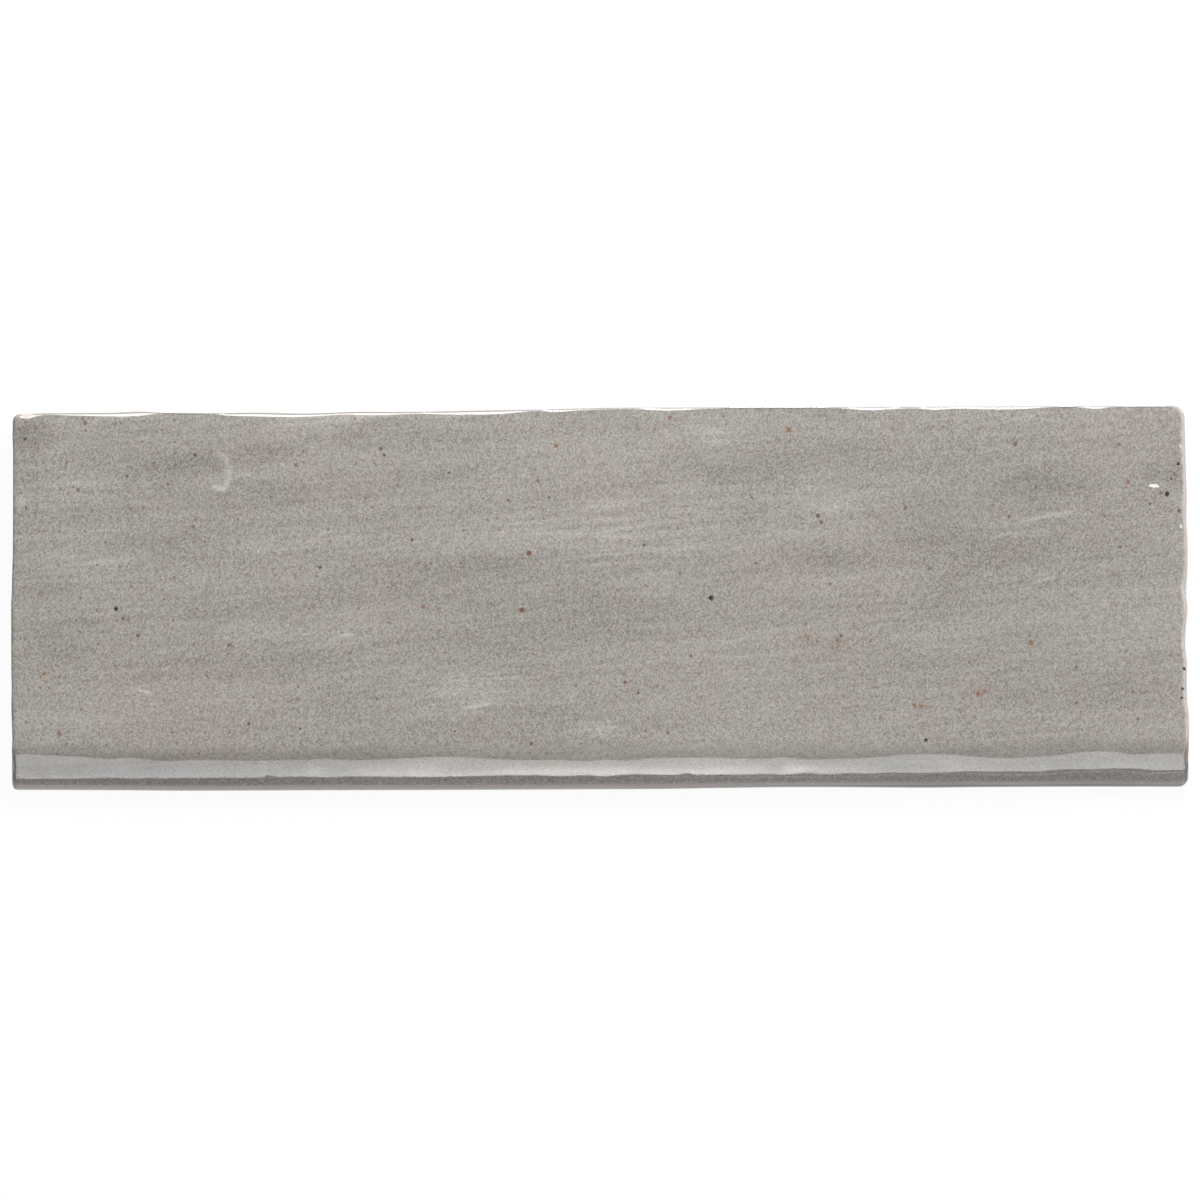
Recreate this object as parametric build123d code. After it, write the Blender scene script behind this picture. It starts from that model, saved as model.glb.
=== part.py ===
from build123d import *

import os
from math import floor

# Bullnose trim tile: one pressed and glazed ceramic piece, lying face up.
# X runs along the tile, Y from the rounded front edge to the butt edge, Z up from the bedding side.
# The origin is on the bedding plane, under the middle of the tile.

# Driving dimensions, in millimetres
length = 200.0  # along the rounded front edge
width = 65.0  # front edge to butt edge, at the right end
thickness = 9.0
foot_height = 1.0  # upright strip along the front, under the quarter round
edge_rounding = 0.8  # where the glazed face turns over its ends and its butt edge

# The outline is slightly out of true, as on tiles with a handmade look
butt_taper = 0.7  # the butt edge comes this much nearer at the left end
end_lean = 0.5  # each end leans in this much towards the butt edge
left_corner_radius = 1.2  # corners of the butt edge, seen from above
right_corner_radius = 2.0
edge_swing = 0.35  # furthest that an edge swings from straight

# How each edge swings at even steps along it, as parts of edge_swing, outwards being positive
right_swings = (0.0, -0.6, -0.9, 0.2, 0.1, 0.0)  # from the front to the butt corner
butt_swings = (-0.3, -0.1, 0.1, 0.0, -0.2, -1.0, -0.8, 0.3)  # from the right corner to the left
left_swings = (0.0, 0.0, 0.2, 0.6, 0.3, -0.4)  # from the butt corner to the front

# The bedding side has shallow recesses that key into the adhesive
key_width = 5.0
key_land = 4.0  # between one recess and the next
key_margin = 6.0  # plain clay left round the recesses, at least
key_depth = 0.8
key_draft = 20.0  # degrees, so that the tile leaves the press
bed_arris = 0.4  # bevel round the bedding face

front = -width / 2
butt = width / 2
left_end = -length / 2
right_end = length / 2
nose_radius = thickness - foot_height  # the quarter round fills the height above the foot
nose_start = front + nose_radius  # where the flat face begins to fall
overrun = nose_radius  # the section runs this far past the outline, which trims it


def uneven_edge(start, end, swings):
    """A smooth curve from start to end, through points that swing off the straight line."""
    start, end = Vector(start), Vector(end)
    along = end - start
    outwards = along.normalized().rotate(Axis.Z, -90)
    points = [start]
    for step, swing in enumerate(swings, start=1):
        share = step / (len(swings) + 1)
        points.append(start + along * share + outwards * swing * edge_swing)
    return Spline(*points, end)


def outline():
    """The tile seen from above: a straight front, three uneven edges and two round butt corners."""
    front_left = (left_end, front)
    front_right = (right_end, front)
    butt_right = (right_end - end_lean, butt)
    butt_left = (left_end + end_lean, butt - butt_taper)
    face = make_face(
        [
            Line(front_left, front_right),
            uneven_edge(front_right, butt_right, right_swings),
            uneven_edge(butt_right, butt_left, butt_swings),
            uneven_edge(butt_left, front_left, left_swings),
        ]
    )
    for place, radius in ((butt_right, right_corner_radius), (butt_left, left_corner_radius)):
        corner = face.vertices().sort_by_distance(place)[0]
        face = fillet(corner, radius)
    return face


def bullnose_section():
    """The tile cut across, from the upright foot over the quarter round to past the butt edge."""
    far = butt + overrun
    return Plane.YZ * make_face(
        [
            Line((front, 0), (front, foot_height)),
            RadiusArc((front, foot_height), (nose_start, thickness), nose_radius),
            Line((nose_start, thickness), (far, thickness)),
            Line((far, thickness), (far, 0)),
            Line((far, 0), (front, 0)),
        ]
    )


def pressed_blank():
    """The outline raised to the tile's thickness, under the bullnose section."""
    section = extrude(bullnose_section(), amount=right_end + overrun, both=True)
    return extrude(outline(), amount=thickness) & section


def eased(blank):
    """The blank with its face rolled over at the rim and its bedding face bevelled."""
    # The rounding runs on from the butt edge along both ends and down over the nose
    face = blank.faces().sort_by(Axis.Z)[-1]
    butt_rim = face.edges().sort_by(Axis.Y)[-1]
    rolled = fillet(butt_rim, edge_rounding)
    bed = rolled.faces().sort_by(Axis.Z)[0]
    return chamfer(bed.edges(), bed_arris)


def key_recesses():
    """Tapered slots along the bedding side, as many as fit between the margins."""
    pitch = key_width + key_land
    count = floor((width - 2 * key_margin + key_land) / pitch)
    slot = SlotOverall(length - 2 * key_margin, key_width)
    row = [Pos(0, (place - (count - 1) / 2) * pitch) * slot for place in range(count)]
    return extrude(Sketch() + row, amount=key_depth, taper=key_draft)


trim_tile = eased(pressed_blank()) - key_recesses()

os.makedirs("parts", exist_ok=True)
export_step(trim_tile, "parts/trim_tile.step")
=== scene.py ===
import bisect
import math

import bmesh
import bpy
from mathutils import Matrix, Vector, kdtree, noise


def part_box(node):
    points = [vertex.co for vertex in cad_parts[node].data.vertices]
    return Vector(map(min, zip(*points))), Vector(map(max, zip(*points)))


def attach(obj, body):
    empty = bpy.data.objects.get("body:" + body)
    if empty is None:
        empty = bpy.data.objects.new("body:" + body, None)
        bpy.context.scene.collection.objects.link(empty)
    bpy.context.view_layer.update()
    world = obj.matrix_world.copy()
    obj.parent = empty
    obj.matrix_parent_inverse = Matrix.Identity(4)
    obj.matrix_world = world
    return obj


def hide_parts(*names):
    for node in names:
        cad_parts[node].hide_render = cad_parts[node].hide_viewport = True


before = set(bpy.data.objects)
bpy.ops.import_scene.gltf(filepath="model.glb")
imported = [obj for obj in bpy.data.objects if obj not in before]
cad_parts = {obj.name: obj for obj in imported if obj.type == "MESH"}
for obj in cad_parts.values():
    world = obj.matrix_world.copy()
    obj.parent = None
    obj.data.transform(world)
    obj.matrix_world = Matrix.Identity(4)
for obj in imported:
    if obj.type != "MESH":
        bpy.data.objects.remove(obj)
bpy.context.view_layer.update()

tileLow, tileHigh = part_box("trim_tile")
mm = 0.001


# Marks are read off the photograph, in pixels of its 1200 by 1200 frame
photo = {
    "size": 1200,
    "mmPerPixel": 200.0 / 1178.0,  # the tile is 1178 pixels long
    "centre": (599.7, 598.7),  # pixel over the tile's origin
    "turn": math.radians(0.19),  # the tile lies this far anticlockwise in the picture
}


def onTile(px, py):
    # pixel to millimetres on the tile's face
    right = (px - photo["centre"][0]) * photo["mmPerPixel"]
    up = (photo["centre"][1] - py) * photo["mmPerPixel"]
    c, s = math.cos(photo["turn"]), math.sin(photo["turn"])
    return right * c + up * s, up * c - right * s


def addNode(tree, kind, inputs=None, **settings):
    # adds one node, sets it up, and fills or links its sockets; a node given as input links its first output
    node = tree.nodes.new("ShaderNode" + kind)
    for name, value in settings.items():
        setattr(node, name, value)
    for name, value in (inputs or {}).items():
        usable = [s for s in node.inputs if s.enabled]
        socket = usable[name] if isinstance(name, int) else [s for s in usable if s.name == name][0]
        if isinstance(value, bpy.types.Node):
            value = [s for s in value.outputs if s.enabled][0]
        if isinstance(value, bpy.types.NodeSocket):
            tree.links.new(value, socket)
        else:
            socket.default_value = value
    return node


def linear(hexColour):
    # sRGB hex to a linear colour with full alpha
    parts = [int(hexColour[i:i + 2], 16) / 255 for i in (1, 3, 5)]
    return [p / 12.92 if p <= 0.04045 else ((p + 0.055) / 1.055) ** 2.4 for p in parts] + [1.0]


def newMaterial(name):
    material = bpy.data.materials.new(name)
    material.use_nodes = True
    material.node_tree.nodes.clear()
    return material, material.node_tree


def newObject(name, bm):
    mesh = bpy.data.meshes.new(name)
    bm.to_mesh(mesh)
    bm.free()
    made = bpy.data.objects.new(name, mesh)
    bpy.context.scene.collection.objects.link(made)
    return made


# The tile, built as a true block and then drawn out to its uneven shape

tileShape = {
    "length": 200.0 * mm,
    "width": 65.0 * mm,
    "noseRadius": 8.0 * mm,
    "noseRows": 36,
    "rimRounding": 0.8 * mm,
    "rimRows": 5,
    "bedArris": 0.4 * mm,
    "gridStep": 0.5 * mm,  # fine enough for the face's own unevenness
    "wallRows": 8,
    "creaseAngle": math.radians(20),  # sharper edges than this stay crisp
    "bedFacing": -0.99,  # faces that look down more than this are the bedding face
}

# the block's own lines, in millimetres
halfLength = tileShape["length"] / 2 / mm
noseTop = tileLow.y / mm + tileShape["noseRadius"] / mm  # where the face begins to fall
buttEdge = tileLow.y / mm + tileShape["width"] / mm

# Out of true, as in the part's own outline: pixels that each edge runs through
outline = {
    "left": ((11.9, 412), (11.5, 432), (12, 445), (11.8, 550), (11.1, 572), (10.8, 590), (10.2, 600),
             (9.4, 611), (9.4, 673), (10.7, 684), (10.2, 698), (10.3, 712), (11.3, 732), (11.2, 745),
             (10.2, 755), (10.9, 766), (10.3, 776), (10.2, 790)),
    "right": ((1183.6, 404), (1184.3, 432), (1185.3, 470), (1186.1, 495), (1185.7, 520), (1186.9, 540),
              (1186.4, 576), (1184, 588), (1186.1, 600), (1186.9, 611), (1184, 636), (1186.4, 665),
              (1185.4, 690), (1188.2, 716), (1188.4, 744), (1187.4, 757), (1189, 767), (1189, 790)),
    "butt": ((16, 413.2), (40, 412.5), (70, 412.2), (112, 411.8), (136, 410.7), (160, 411.9), (212, 412.3),
             (256, 411.8), (300, 412.6), (328, 412), (352, 411), (400, 411), (440, 410.5), (476, 409.6),
             (515, 409), (545, 408.6), (580, 407.6), (616, 406.8), (656, 406), (736, 405.4), (832, 404.2),
             (900, 405), (960, 404.6), (1048, 404.4), (1075, 404), (1184, 404)),
    "front": ((16, 789.5), (112, 789.9), (184, 790.4), (304, 790), (400, 789.8), (496, 789.4), (568, 789.1),
              (664, 788.6), (712, 787.8), (784, 786.8), (832, 786.8), (928, 787.3), (976, 786.8),
              (1072, 786.3), (1184, 786.3)),
    "pixelMiddle": (0.75, 0.8),  # from a pixel's number to where its edge is seen
    "margin": 0.04,  # kept clear inside the part's box, in millimetres
    # corner radii seen from above
    "buttLeft": 1.2 * mm,
    "buttRight": 2.0 * mm,
    "frontLeft": 0.8 * mm,
    "frontRight": 1.6 * mm,
}

# How the glaze lies on the block, in millimetres
glazeRelief = {
    "faceDip": 0.2,
    "faceLevel": 0.6,
    "faceWaves": ((38.0, 13.0, 0.3, 3.1), (13.0, 6.0, 0.1, 8.1)),  # along, across, share, seed
    "pillow": 0.15,  # the face falls this much more towards its butt edge
    "pillowReach": 1.8,
    # swells and hollows of the nose: pixel along the tile, height
    "shoulder": ((11, -0.5), (25, -0.46), (45, -0.29), (70, -0.17), (105, 0.02), (128, -0.04), (165, 0.1),
                 (190, 0.05), (240, 0.08), (285, 0.06), (305, 0.06), (325, 0.0), (345, 0.06), (365, 0.06),
                 (405, -0.02), (445, -0.11), (480, 0.01), (505, 0.08), (565, 0.1), (585, 0.15), (605, 0.09),
                 (625, 0.14), (655, 0.04), (705, 0.03), (730, 0.09), (765, 0.12), (785, 0.06), (805, 0.18),
                 (835, 0.14), (885, 0.04), (905, -0.08), (940, -0.1), (965, 0.03), (1013, 0.14), (1040, 0.07),
                 (1062, 0.08), (1090, -0.04), (1110, -0.02), (1132, 0.1), (1155, 0.045), (1189, 0.0)),
    "brow": ((11, 0.0), (45, 0.07), (85, 0.1), (125, 0.1), (150, 0.11), (166, 0.15), (185, 0.11), (250, 0.12),
             (285, 0.08), (325, 0.06), (365, 0.07), (445, 0.0), (482, 0.02), (545, 0.08), (585, 0.11),
             (625, 0.08), (645, 0.01), (705, 0.05), (745, 0.12), (785, 0.11), (825, 0.16), (850, 0.08),
             (872, 0.06), (895, -0.1), (935, -0.18), (965, -0.12), (1005, 0.04), (1045, 0.0), (1066, -0.03),
             (1090, -0.09), (1110, -0.09), (1130, 0.01), (1155, 0.0), (1189, -0.08)),
    # the nose stands back at its right end: pixel along the tile, distance
    "lean": ((11, 0.0), (1000, 0.0), (1030, 0.0), (1045, 0.04), (1066, 0.3), (1090, 0.42), (1110, 0.5),
             (1130, 0.46), (1155, 0.32), (1189, 0.3)),
    "leanAngle": 45.0,  # degrees down, where the nose begins to come out to its foot again
    "leanRise": 3.0,
    "leanReach": 10.0,  # the face behind follows this far
    "shoulderAngle": 31.0,  # degrees down from the face
    "browAngle": 57.0,
    "swellSpread": 12.0,
    "swellFade": 20.0,  # the foot stays put
    # small dents in the nose: pixel along the tile, degrees down, reach, depth
    "dents": ((268, 47, 0.8, 0.05), (687, 47, 0.9, 0.06), (407, 38, 0.7, -0.02), (451, 40, 0.7, -0.025),
              (536, 40, 0.8, -0.02), (1047, 33, 1.0, -0.025), (326, 27, 0.7, -0.015)),
    # radius of the butt rim: pixel along the tile, radius
    "buttRim": ((10, 0.8), (46, 0.3), (70, 0.5), (100, 0.65), (136, 0.85), (150, 0.5), (158, 0.2), (212, 0.2),
                (224, 0.45), (240, 0.6), (275, 0.8), (300, 0.65), (335, 0.5), (375, 0.65), (415, 0.4),
                (440, 0.55), (475, 0.8), (500, 0.7), (520, 0.5), (536, 0.25), (556, 0.5), (600, 0.3),
                (635, 0.3), (676, 0.6), (705, 0.3), (735, 0.15), (815, 0.15), (840, 0.25), (876, 0.6),
                (915, 0.3), (936, 0.55), (960, 0.4), (1010, 0.6), (1040, 0.35), (1075, 0.15), (1097, 0.5),
                (1120, 0.2), (1189, 0.2)),
    "rimLimits": (0.15, 1.2),
    "rimRoughness": 0.15,
    "rimNoiseSize": 2.5,
    "rimSeed": (4.4, 1.3),
    "cornerFade": 2.0,  # the rim keeps its own radius round the corners
    "chip": {"left": (18, 411), "tip": (25, 419.5), "right": (40, 411), "reach": 1.4, "more": 0.45,
             "edge": 0.1, "least": 0.02},
    # a pale curl of pooled glaze, and its tail; its paleness is partly a painted highlight
    "curl": ((219, 452), (226, 459), (229.5, 470), (228, 481), (224, 489), (214, 487)),
    "curlHeight": 0.06,
    "curlReach": 0.33,
    "curlRange": 9.0,  # nothing of it is further off than this
    "curlStart": 0.35,
    "curlPaleness": 0.5,
}

keyRecess = {
    "width": 5.0 * mm,
    "pitch": 9.0 * mm,
    "count": 6,
    "margin": 6.0 * mm,
    "depth": 0.8 * mm,
    "draft": math.radians(20),
    "endPoints": 12,
}


def longEdges(bm, axis, least):
    # edges that run along one axis and are longer than least
    found = []
    for edge in bm.edges:
        along = edge.verts[1].co - edge.verts[0].co
        if along.length > least and abs(along[axis]) > 0.999 * along.length:
            found.append(edge)
    return found


def tileBlock(bm):
    # a section of four corners, its nose rounded, drawn out along X
    half, front, top = tileShape["length"] / 2, tileLow.y, tileHigh.z
    butt = front + tileShape["width"]
    corners = [bm.verts.new((-half, y, z)) for y, z in ((front, 0), (front, top), (butt, top), (butt, 0))]
    bm.faces.new(corners)
    bmesh.ops.bevel(bm, geom=[corners[1]], offset=tileShape["noseRadius"], offset_type="OFFSET",
                    segments=tileShape["noseRows"], profile=0.5, affect="VERTICES", material=-1)
    drawn = bmesh.ops.extrude_face_region(bm, geom=bm.faces[:])
    farEnd = [v for v in drawn["geom"] if isinstance(v, bmesh.types.BMVert)]
    bmesh.ops.translate(bm, verts=farEnd, vec=(tileShape["length"], 0, 0))
    bmesh.ops.recalc_face_normals(bm, faces=bm.faces[:])

    # the glazed rim: both ends over face, nose and butt corners, and the butt edge of the face
    tiny = 1e-6
    rim = []
    for edge in bm.edges:
        a, b = (v.co for v in edge.verts)
        onBed = max(a.z, b.z) < tiny
        onEnd = abs(a.x - b.x) < tiny
        onButtTop = min(a.y, b.y) > butt - tiny and min(a.z, b.z) > top - tiny
        if (onEnd and not onBed) or onButtTop:
            rim.append(edge)
    bmesh.ops.bevel(bm, geom=rim, offset=tileShape["rimRounding"], offset_type="OFFSET",
                    segments=tileShape["rimRows"], profile=0.5, affect="EDGES", material=-1)

    # the bedding face's arris, then that face comes out until the recesses are in
    bed = [f for f in bm.faces if f.normal.z < tileShape["bedFacing"]][0]
    bmesh.ops.bevel(bm, geom=bed.edges[:], offset=tileShape["bedArris"], offset_type="OFFSET",
                    segments=2, profile=0.5, affect="EDGES", material=-1)
    bed = [f for f in bm.faces if f.normal.z < tileShape["bedFacing"]]
    bmesh.ops.delete(bm, geom=bed, context="FACES_ONLY")


def gridCuts(bm):
    # even rows and columns over the glazed skin
    step = tileShape["gridStep"]
    acrossCuts = round((tileShape["width"] - tileShape["noseRadius"]) / step) - 1
    alongCuts = round(tileShape["length"] / step) - 1
    for axis, least, cuts in ((1, 10 * mm, acrossCuts), (0, 10 * mm, alongCuts),
                              (2, 5 * mm, tileShape["wallRows"] - 1)):
        bmesh.ops.subdivide_edges(bm, edges=longEdges(bm, axis, least), cuts=cuts, use_grid_fill=True)


def slotLoop(bm, radius, y, z):
    # a circle pulled out along X into a slot
    points = 2 * keyRecess["endPoints"]
    turn = Matrix.Rotation(math.pi / points, 4, "Z")
    loop = bmesh.ops.create_circle(bm, cap_ends=False, radius=radius, segments=points, matrix=turn)
    reach = tileShape["length"] / 2 - keyRecess["margin"] - keyRecess["width"] / 2
    for v in loop["verts"]:
        v.co += Vector((math.copysign(reach, v.co.x), y, z))
    return list({e for v in loop["verts"] for e in v.link_edges})


def beddingSide(bm):
    # drafted recesses, and clay between them and the arris
    bedLoops = [e for e in bm.edges if e.is_boundary]
    shrink = keyRecess["depth"] * math.tan(keyRecess["draft"])
    for place in range(keyRecess["count"]):
        y = (place - (keyRecess["count"] - 1) / 2) * keyRecess["pitch"]
        mouth = slotLoop(bm, keyRecess["width"] / 2, y, 0)
        floor = slotLoop(bm, keyRecess["width"] / 2 - shrink, y, keyRecess["depth"])
        bmesh.ops.bridge_loops(bm, edges=mouth + floor)
        bmesh.ops.contextual_create(bm, geom=floor)
        bedLoops += mouth
    bmesh.ops.triangle_fill(bm, use_beauty=True, edges=bedLoops)
    bmesh.ops.recalc_face_normals(bm, faces=bm.faces[:])


def pixelAlong(x):
    # millimetres along the tile to a pixel along the photograph
    return photo["centre"][0] + x / photo["mmPerPixel"]


def through(stops, at):
    # height over one place of a smooth curve through stops, which are (place, height) from low to high
    i = min(max(bisect.bisect(stops, (at,)) - 1, 0), len(stops) - 2)
    (a, low), (b, high) = stops[i], stops[i + 1]
    before, after = stops[max(i - 1, 0)], stops[min(i + 2, len(stops) - 1)]
    first = (high - before[1]) / (b - before[0]) * (b - a)
    last = (after[1] - low) / (after[0] - a) * (b - a)
    t = min(max((at - a) / (b - a), 0.0), 1.0)
    rise = high - low
    return low + t * (first + t * (3 * rise - 2 * first - last + t * (first + last - 2 * rise)))


def bell(t):
    return math.exp(-t * t)


def eased(t):
    # from 0 to 1, level at both
    t = min(max(t, 0.0), 1.0)
    return t * t * (3 - 2 * t)


def roundedCorner(u, v, radius, was):
    # u and v run in from the two edges; the corner goes from its old radius to a larger one
    if u >= radius or v >= radius:
        return u, v
    out = Vector((radius - u, radius - v))
    if out.length < 1e-9:
        return u, v
    way = out.normalized()
    edge = radius / max(way)
    inset = Vector((radius - was, radius - was))
    if min(way) * edge > radius - was:
        lean = way.dot(inset)
        edge = lean + math.sqrt(max(lean * lean - inset.length_squared + was * was, 0.0))
    out *= radius / edge
    return radius - out.x, radius - out.y


def edgeCurves():
    # the outline's pixels in millimetres: ends as (y, x), long edges as (x, y), inside the part's box
    curves = {}
    for side in ("left", "right", "butt", "front"):
        axis = 0 if side in ("left", "right") else 1
        low, high = tileLow[axis] / mm + outline["margin"], tileHigh[axis] / mm - outline["margin"]
        right, down = outline["pixelMiddle"]
        spots = [onTile(px + right, py + down) for px, py in outline[side]]
        curves[side] = sorted((spot[1 - axis], min(max(spot[axis], low), high)) for spot in spots)
    return curves


def unevenOutline(co, curves):
    # block to the tile's own outline, corners first
    half, front, width = tileShape["length"] / 2, tileLow.y, tileShape["width"]
    x, y = co.x, co.y - front
    was = tileShape["rimRounding"]
    fromEnd, fromButt = half - abs(x), width - y
    if y > width / 2:
        radius = outline["buttRight"] if x > 0 else outline["buttLeft"]
        fromEnd, fromButt = roundedCorner(fromEnd, fromButt, radius, was)
        y = width - fromButt
    else:
        radius = outline["frontRight"] if x > 0 else outline["frontLeft"]
        fromEnd, y = roundedCorner(fromEnd, y, radius, was)
    x = math.copysign(half - fromEnd, x)
    left, right = (through(curves[side], (front + y) / mm) * mm for side in ("left", "right"))
    low, high = (through(curves[side], x / mm) * mm for side in ("front", "butt"))
    x = left + (right - left) * (x / (2 * half) + 0.5)
    y = low + (high - low) * y / width
    # the curve may swing out a little between its points
    return Vector((min(max(x, tileLow.x), tileHigh.x), min(max(y, tileLow.y), tileHigh.y), co.z))


def rolledRim(p):
    # the butt rim's radius changes along the tile; p is in millimetres on the block
    top, was = tileHigh.z / mm, tileShape["rimRounding"] / mm
    back, down = buttEdge - p.y, top - p.z
    if back > was or down > was:
        return p
    radius = through(glazeRelief["buttRim"], pixelAlong(p.x))
    ripple = noise.noise(Vector((p.x / glazeRelief["rimNoiseSize"], *glazeRelief["rimSeed"])))
    chip = glazeRelief["chip"]
    radius *= 1 + glazeRelief["rimRoughness"] * ripple
    radius += chip["more"] * bell((p.x - onTile(*chip["tip"])[0]) / chip["reach"])
    corner = min(max((halfLength - abs(p.x) - was) / glazeRelief["cornerFade"], 0.0), 1.0)
    least, most = glazeRelief["rimLimits"]
    scale = 1 + corner * (min(max(radius, least), most) / was - 1)
    return Vector((p.x, buttEdge - back * scale, top - down * scale))


def curlHeight(p):
    # nearness to the curl of pooled glaze, from 0 to 1, which starts faintly
    points = [Vector(onTile(*spot)) for spot in glazeRelief["curl"]]
    here, nearest, run = p.xy, glazeRelief["curlRange"], 0.0
    if (here - points[2]).length > nearest:
        return 0.0
    for number, (a, b) in enumerate(zip(points, points[1:])):
        along = b - a
        t = min(max((here - a).dot(along) / along.length_squared, 0.0), 1.0)
        away = (here - a - along * t).length
        if away < nearest:
            nearest, run = away, (number + t) / (len(points) - 1)
    return bell(nearest / glazeRelief["curlReach"]) * (glazeRelief["curlStart"] * (1 - run) + run)


def onGlaze(p, normal):
    # from the true block, in millimetres, to the glaze's own surface
    noseRadius = tileShape["noseRadius"] / mm
    foot = tileHigh.z / mm - noseRadius
    px = pixelAlong(p.x)
    dip = glazeRelief["faceLevel"]
    for along, across, share, seed in glazeRelief["faceWaves"]:
        dip += share * noise.noise(Vector((p.x / along, p.y / across, seed)))
    dip *= glazeRelief["faceDip"]
    dip += glazeRelief["pillow"] * math.exp((p.y - buttEdge) / glazeRelief["pillowReach"])
    dip *= max(normal.z, 0.0)
    dip -= glazeRelief["curlHeight"] * curlHeight(p) * max(normal.z, 0.0)
    if p.z <= foot:
        return p - normal * dip
    # the nose stands back at one end
    lean = through(glazeRelief["lean"], px) * min((p.z - foot) / glazeRelief["leanRise"], 1.0)
    if p.y >= noseTop:
        lean *= eased(1 - (p.y - noseTop) / glazeRelief["leanReach"])
        return p - normal * dip + Vector((0, lean, 0))
    down = math.degrees(math.atan2(noseTop - p.y, p.z - foot))
    lean *= eased((90.0 - down) / (90.0 - glazeRelief["leanAngle"]))
    # and it swells and sinks a little along its length
    spread = glazeRelief["swellSpread"]
    swell = through(glazeRelief["shoulder"], px) * bell((down - glazeRelief["shoulderAngle"]) / spread)
    swell += through(glazeRelief["brow"], px) * bell((down - glazeRelief["browAngle"]) / spread)
    swell *= min((90.0 - down) / glazeRelief["swellFade"], 1.0)
    for dentPixel, dentDown, reach, depth in glazeRelief["dents"]:
        alongNose = (px - dentPixel) * photo["mmPerPixel"] / reach
        overNose = math.radians(down - dentDown) * noseRadius / reach
        swell -= depth * bell(alongNose) * bell(overNose)
    return p + normal * (swell - dip) + Vector((0, lean, 0))


# Marks in the glaze

# Brush strokes: from, to, half width in pixels, and how much thicker the glaze is there
strokes = (
    ((150, 467), (225, 465), 14, -0.30),
    ((230, 457), (305, 456), 10, -0.25),
    ((20, 436), (40, 434), 16, -0.45),
    ((15, 597), (75, 596), 10, -0.25),
    ((35, 647), (85, 645), 12, -0.25),
    ((320, 573), (545, 566), 10, -0.25),
    ((455, 568), (540, 566), 9, -0.15),
    ((580, 486), (870, 447), 14, -0.25),
    ((775, 557), (880, 555), 10, -0.20),
    ((870, 533), (985, 525), 16, -0.25),
    ((930, 570), (1035, 555), 22, -0.25),
    ((975, 492), (1090, 484), 14, -0.25),
    ((1155, 467), (1185, 467), 14, -0.25),
    ((540, 604), (680, 602), 8, -0.15),
    ((30, 495), (110, 490), 20, 0.20),
    ((45, 558), (140, 553), 16, 0.25),
    ((215, 545), (410, 541), 12, 0.15),
    ((470, 534), (565, 531), 12, 0.15),
    ((580, 534), (675, 530), 46, 0.20),
    ((275, 634), (410, 629), 10, 0.12),
    ((390, 693), (540, 690), 18, 0.20),
    ((580, 733), (628, 731), 7, 0.25),
    ((805, 498), (875, 494), 16, 0.20),
    ((680, 437), (745, 435), 24, 0.15),
    ((60, 419), (560, 415), 9, 0.25),
)
strokeWander = (9.0, 2.5, 7)  # how long a stroke's wandering is and how far it goes, in mm, and a seed
strokeWidening, bloomWidening = 1.5, 1.3  # they fade towards their outline
strokeFacing, speckFacing = 0.5, 0.2  # only points and faces that look up more than this have marks

# Rust that has bloomed through the glaze as fine dust: from, to, half width in pixels, strength
blooms = (
    ((803, 636), (820, 643), 7, 0.65),
    ((832, 652), (842, 638), 7, 0.65),
    ((912, 704), (930, 707), 6, 0.55),
    ((136, 682), (168, 672), 7, 0.35),
    ((188, 524), (192, 536), 5, 0.4),
    ((975, 694), (986, 690), 6, 0.8),
    ((90, 700), (230, 735), 40, 0.16),
    ((905, 712), (935, 735), 12, 0.18),
    ((1070, 690), (1085, 710), 14, 0.16),
    ((270, 690), (290, 700), 10, 0.2),
)

# Specks: place and radius in pixels
specks = {
    "rust": ((529, 553, 2.3), (522, 610, 2.7), (531, 744, 1.9), (412, 540, 1.6), (625, 682, 1.6)),
    "tan": ((789, 430, 2.6), (1031, 643, 2.5), (423, 607, 1.8), (808, 639, 1.4), (817, 641, 1.3),
            (837, 640, 1.7), (832, 648, 1.3), (914, 705, 1.5), (922, 706, 1.5), (556, 446, 2.0),
            (670, 417, 1.8), (978, 694, 2.0), (985, 691, 1.6), (44, 674, 2.0), (60, 735, 1.8),
            (1128, 482, 1.9), (1175, 474, 1.6)),
    "brown": ((78, 490, 2.0), (193, 527, 2.0), (229, 645, 2.2), (85, 423, 2.4), (36, 466, 1.4),
              (538, 481, 1.6), (691, 656, 1.8), (668, 733, 1.8), (756, 563, 1.6), (830, 584, 1.8),
              (1015, 444, 2.6), (905, 508, 1.8), (1009, 517, 1.8), (1120, 547, 1.8), (929, 569, 1.6),
              (1076, 703, 1.6), (1138, 719, 1.8), (168, 484, 1.6), (296, 465, 1.8), (1036, 487, 1.4),
              (1119, 444, 1.4), (1161, 493, 1.6), (1076, 667, 1.6), (1133, 692, 1.6), (26, 508, 1.6)),
    "umber": ((123, 619, 1.6), (381, 449, 2.0), (384, 455, 1.8), (320, 567, 2.0), (195, 455, 1.8),
              (127, 476, 1.4), (138, 636, 1.5), (249, 724, 1.6), (818, 516, 2.0), (821, 522, 1.8),
              (449, 473, 1.4), (549, 498, 1.4), (508, 500, 1.4), (752, 498, 1.4), (644, 545, 1.5),
              (841, 636, 1.5), (638, 693, 1.4), (300, 729, 1.4), (1171, 479, 1.5), (1150, 504, 1.3),
              (1179, 511, 1.6), (25, 439, 1.5)),
    "dark": ((711, 598, 2.4), (116, 609, 2.0), (926, 740, 1.6), (1178, 464, 1.7), (1167, 494, 2.5),
             (1184, 669, 1.7), (1183, 689, 1.4), (1182, 698, 1.2)),
}
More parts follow.
